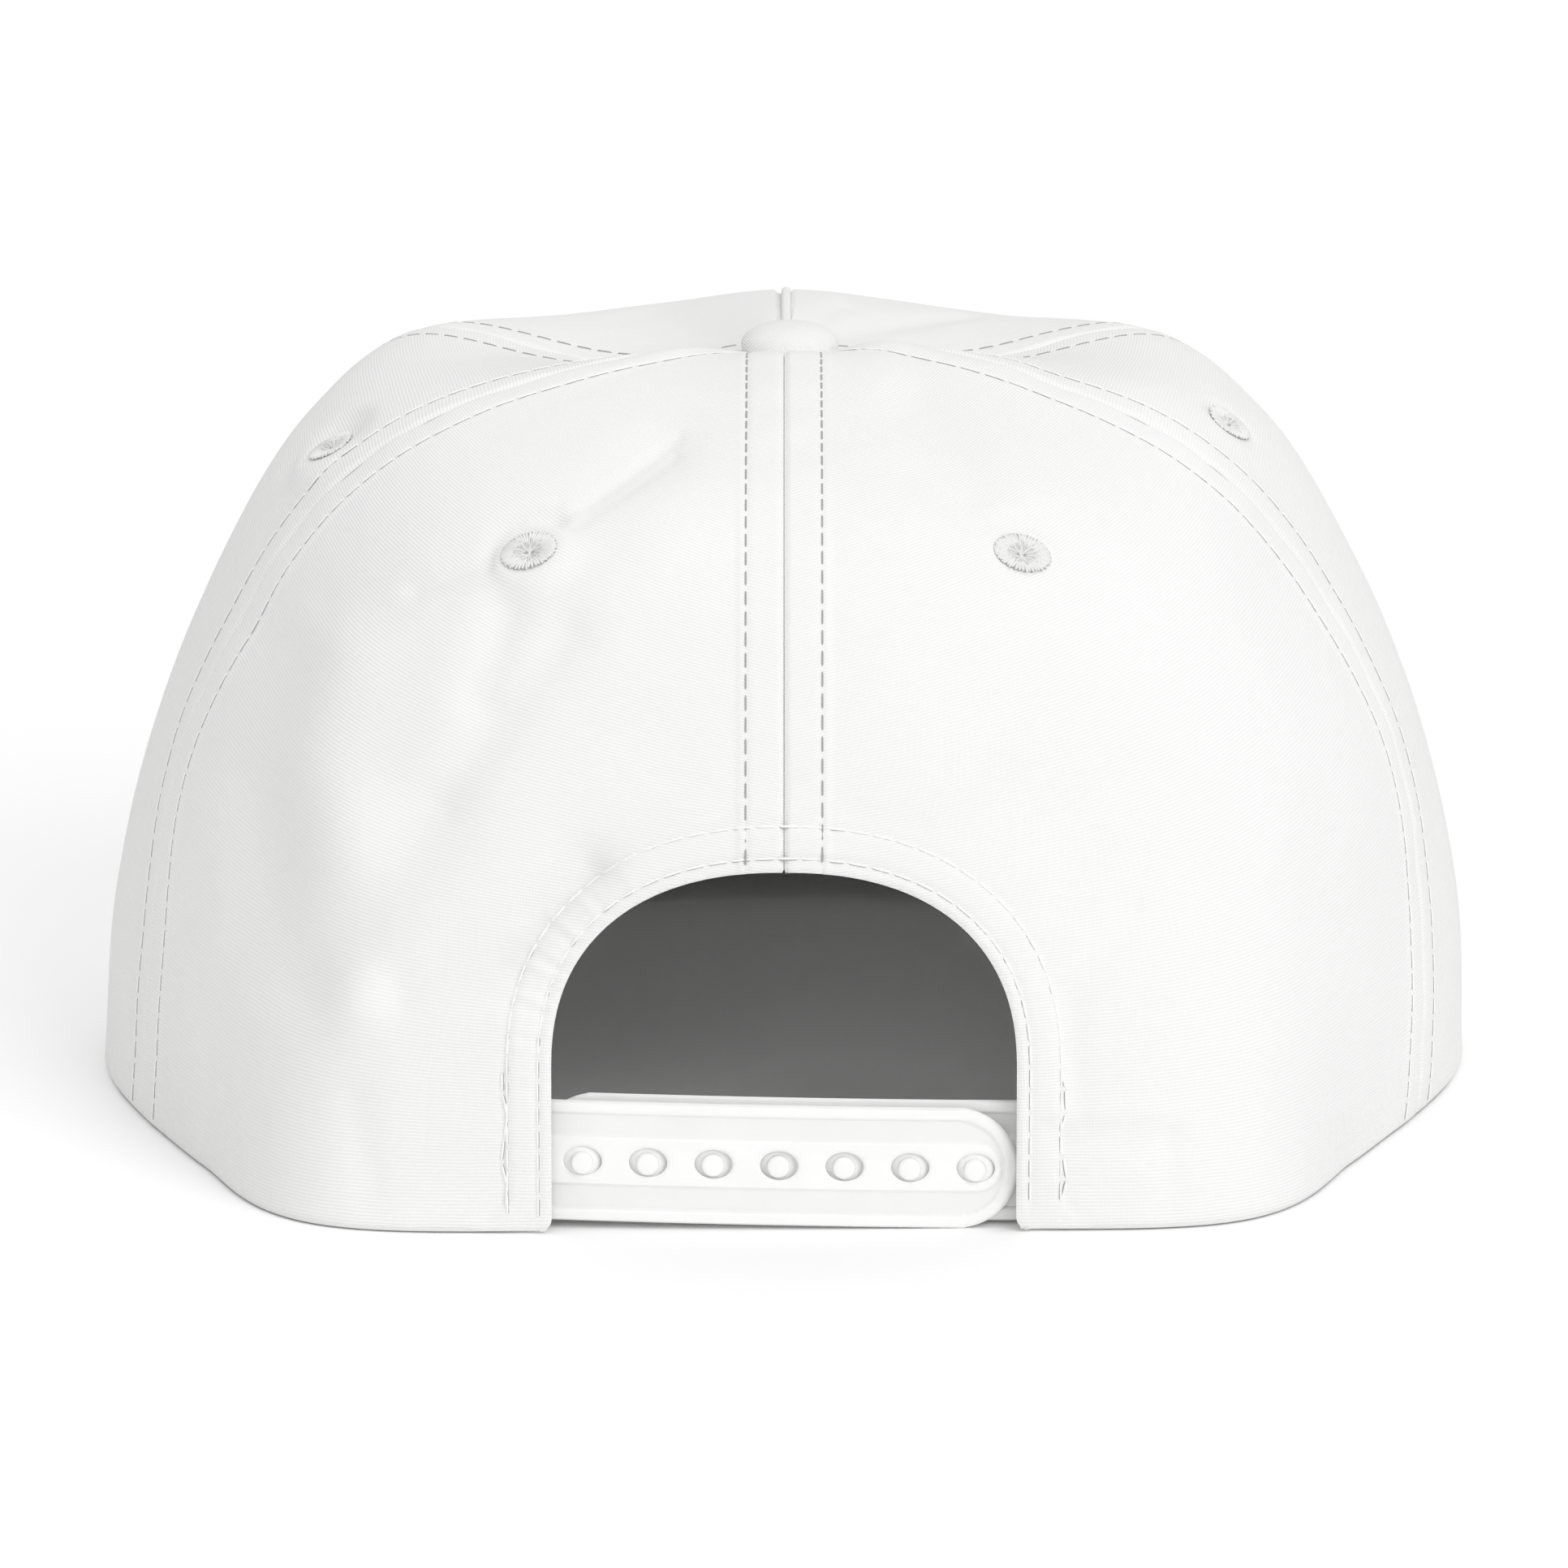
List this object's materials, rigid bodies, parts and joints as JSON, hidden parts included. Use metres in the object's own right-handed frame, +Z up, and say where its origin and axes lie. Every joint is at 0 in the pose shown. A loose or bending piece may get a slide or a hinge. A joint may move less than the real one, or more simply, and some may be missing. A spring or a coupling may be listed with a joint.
{
  "type": "surf cap",
  "caption": "Six-panel cloth cap with a stiff peak, a covered button, stitched eyelets and an arched back opening closed by a two-part plastic snap strap.",
  "frame": {"origin": "on the surface that the cap stands on, under the middle of its bounding box", "axes": "+Z up, +Y towards the peak, +X to the right as seen from behind"},
  "size_m": [0.1857, 0.2388, 0.1039],
  "materials": {
    "cloth": "fine ribbed white cloth with a slight sheen",
    "thread": "white embroidery and sewing thread",
    "plastic": "moulded white plastic, satin"
  },
  "bodies": {
    "root": {"back_panel_left": "cloth", "back_panel_right": "cloth", "side_panel_left": "cloth", "side_panel_right": "cloth", "front_panel_left": "cloth", "front_panel_right": "cloth", "eyelet_back_left": "thread", "eyelet_back_right": "thread", "eyelet_side_left": "thread", "eyelet_side_right": "thread", "button": "cloth", "peak": "cloth", "strap_with_holes": "plastic", "strap_with_pegs": "plastic"}
  },
  "joints": []
}
